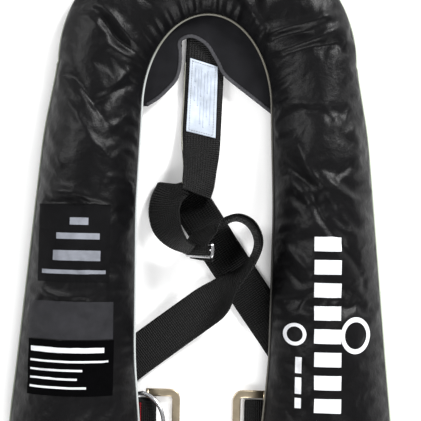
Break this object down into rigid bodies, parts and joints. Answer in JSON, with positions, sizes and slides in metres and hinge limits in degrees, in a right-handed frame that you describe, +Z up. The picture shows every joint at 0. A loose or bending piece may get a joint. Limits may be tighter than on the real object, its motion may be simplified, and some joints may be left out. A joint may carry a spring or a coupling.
{
  "type": "inflatable life jacket",
  "caption": "Horseshoe inflatable life jacket laid flat: folded chamber and inflator in a padded cover, with back strap, belt and steel buckle.",
  "frame": {"origin": "on the surface it lies on, under the middle of its length and width", "axes": "+X to the right as seen from the front, +Y from the lobe tips to the neck, +Z up out of the front"},
  "size_m": [0.3816, 0.5908, 0.056],
  "materials": {
    "cover_fabric": "satin coated nylon",
    "back_padding": "matt padded mesh",
    "piping": "reflective satin",
    "closure": "matt hook and loop",
    "yoke_fabric": "matt",
    "binding": "matt tape",
    "webbing": "ribbed polyester webbing",
    "label": "satin woven label",
    "bright_steel": "polished",
    "buckle_steel": "satin",
    "chamber_fabric": "coated",
    "reflective_tape": "silver",
    "black_plastic": "matt",
    "gasket_rubber": "matt",
    "cylinder_steel": "satin",
    "green_plastic": "gloss",
    "red_cord": "matt",
    "red_plastic": "satin",
    "orange_plastic": "satin"
  },
  "bodies": {
    "jacket": {"front_cover": "cover_fabric", "back_cover": "back_padding", "piping_outer": "piping", "piping_inner": "piping", "hook_strip_left": "closure", "hook_strip_right": "closure", "loop_strip_left": "closure", "loop_strip_right": "closure", "neck_yoke": "yoke_fabric", "yoke_binding": "binding", "back_strap": "webbing", "care_label": "label", "belt_right": "webbing", "belt_left": "webbing", "belt_sleeve_left": "back_padding", "belt_sleeve_right": "back_padding", "buckle_tab_left": "webbing", "buckle_tab_right": "webbing", "chamber": "chamber_fabric", "reflective_tape_left": "reflective_tape", "reflective_tape_right": "reflective_tape", "lifting_becket": "webbing", "valve_stem": "bright_steel", "inflator_body": "black_plastic", "inflator_gasket": "gasket_rubber", "inflator_nut": "bright_steel", "lever_pin": "bright_steel", "oral_tube": "black_plastic", "whistle": "orange_plastic", "whistle_lanyard": "red_cord"},
    "lever": {"inflator_lever": "black_plastic"},
    "pin": {"firing_pin": "bright_steel"},
    "pull": {"pull_handle": "red_plastic", "pull_cord": "red_cord"},
    "cylinder": {"gas_cylinder": "cylinder_steel"},
    "clip": {"indicator_clip": "green_plastic"},
    "cap": {"oral_cap": "red_plastic"},
    "valve": {"oral_valve": "red_plastic"},
    "left_ring": {"buckle_ring_left": "buckle_steel"},
    "right_ring": {"buckle_ring_right": "buckle_steel"},
    "dee": {"harness_ring": "bright_steel"},
    "slider": {"belt_slider": "bright_steel"}
  },
  "joints": [
    {"name": "lever_turn", "type": "hinge", "parent": "jacket", "child": "lever", "pos_m": [-0.134, -0.1875, 0.032], "axis": [0, 0, 1], "range_deg": [0, 90]},
    {"name": "pin_travel", "type": "slide", "parent": "jacket", "child": "pin", "axis": [0, 1, 0], "range_m": [0, 0.006]},
    {"name": "handle_pull", "type": "slide", "parent": "jacket", "child": "pull", "axis": [0, -1, 0], "range_m": [0, 0.04]},
    {"name": "cylinder_turn", "type": "hinge", "parent": "jacket", "child": "cylinder", "pos_m": [-0.134, -0.0815, 0.032], "axis": [0, 1, 0], "continuous": true},
    {"name": "clip_pull", "type": "slide", "parent": "jacket", "child": "clip", "axis": [0, -1, 0], "range_m": [0, 0.012]},
    {"name": "cap_pull", "type": "slide", "parent": "jacket", "child": "cap", "axis": [0, 1, 0], "range_m": [0, 0.02]},
    {"name": "valve_press", "type": "slide", "parent": "jacket", "child": "valve", "axis": [0, -1, 0], "range_m": [0, 0.004], "stiffness_N_per_m": 200},
    {"name": "dee_turn", "type": "hinge", "parent": "jacket", "child": "dee", "pos_m": [-0.066, -0.204, 0.0052], "axis": [0, -1, 0], "range_deg": [0, 30]},
    {"name": "left_ring_turn", "type": "hinge", "parent": "jacket", "child": "left_ring", "pos_m": [-0.054, -0.199, 0.0042], "axis": [0, -1, 0], "range_deg": [0, 30]},
    {"name": "right_ring_turn", "type": "hinge", "parent": "jacket", "child": "right_ring", "pos_m": [0.064, -0.199, 0.0042], "axis": [0, 1, 0], "range_deg": [0, 60]},
    {"name": "slider_travel", "type": "slide", "parent": "jacket", "child": "slider", "axis": [0, -1, 0], "range_m": [0, 0.015]}
  ],
  "couplings": [
    {"joint": "pin_travel", "follows": "lever_turn", "m_per_rad": 0.003819},
    {"joint": "handle_pull", "follows": "lever_turn", "m_per_rad": 0.025455},
    {"joint": "left_ring_turn", "follows": "dee_turn", "ratio": 1}
  ]
}
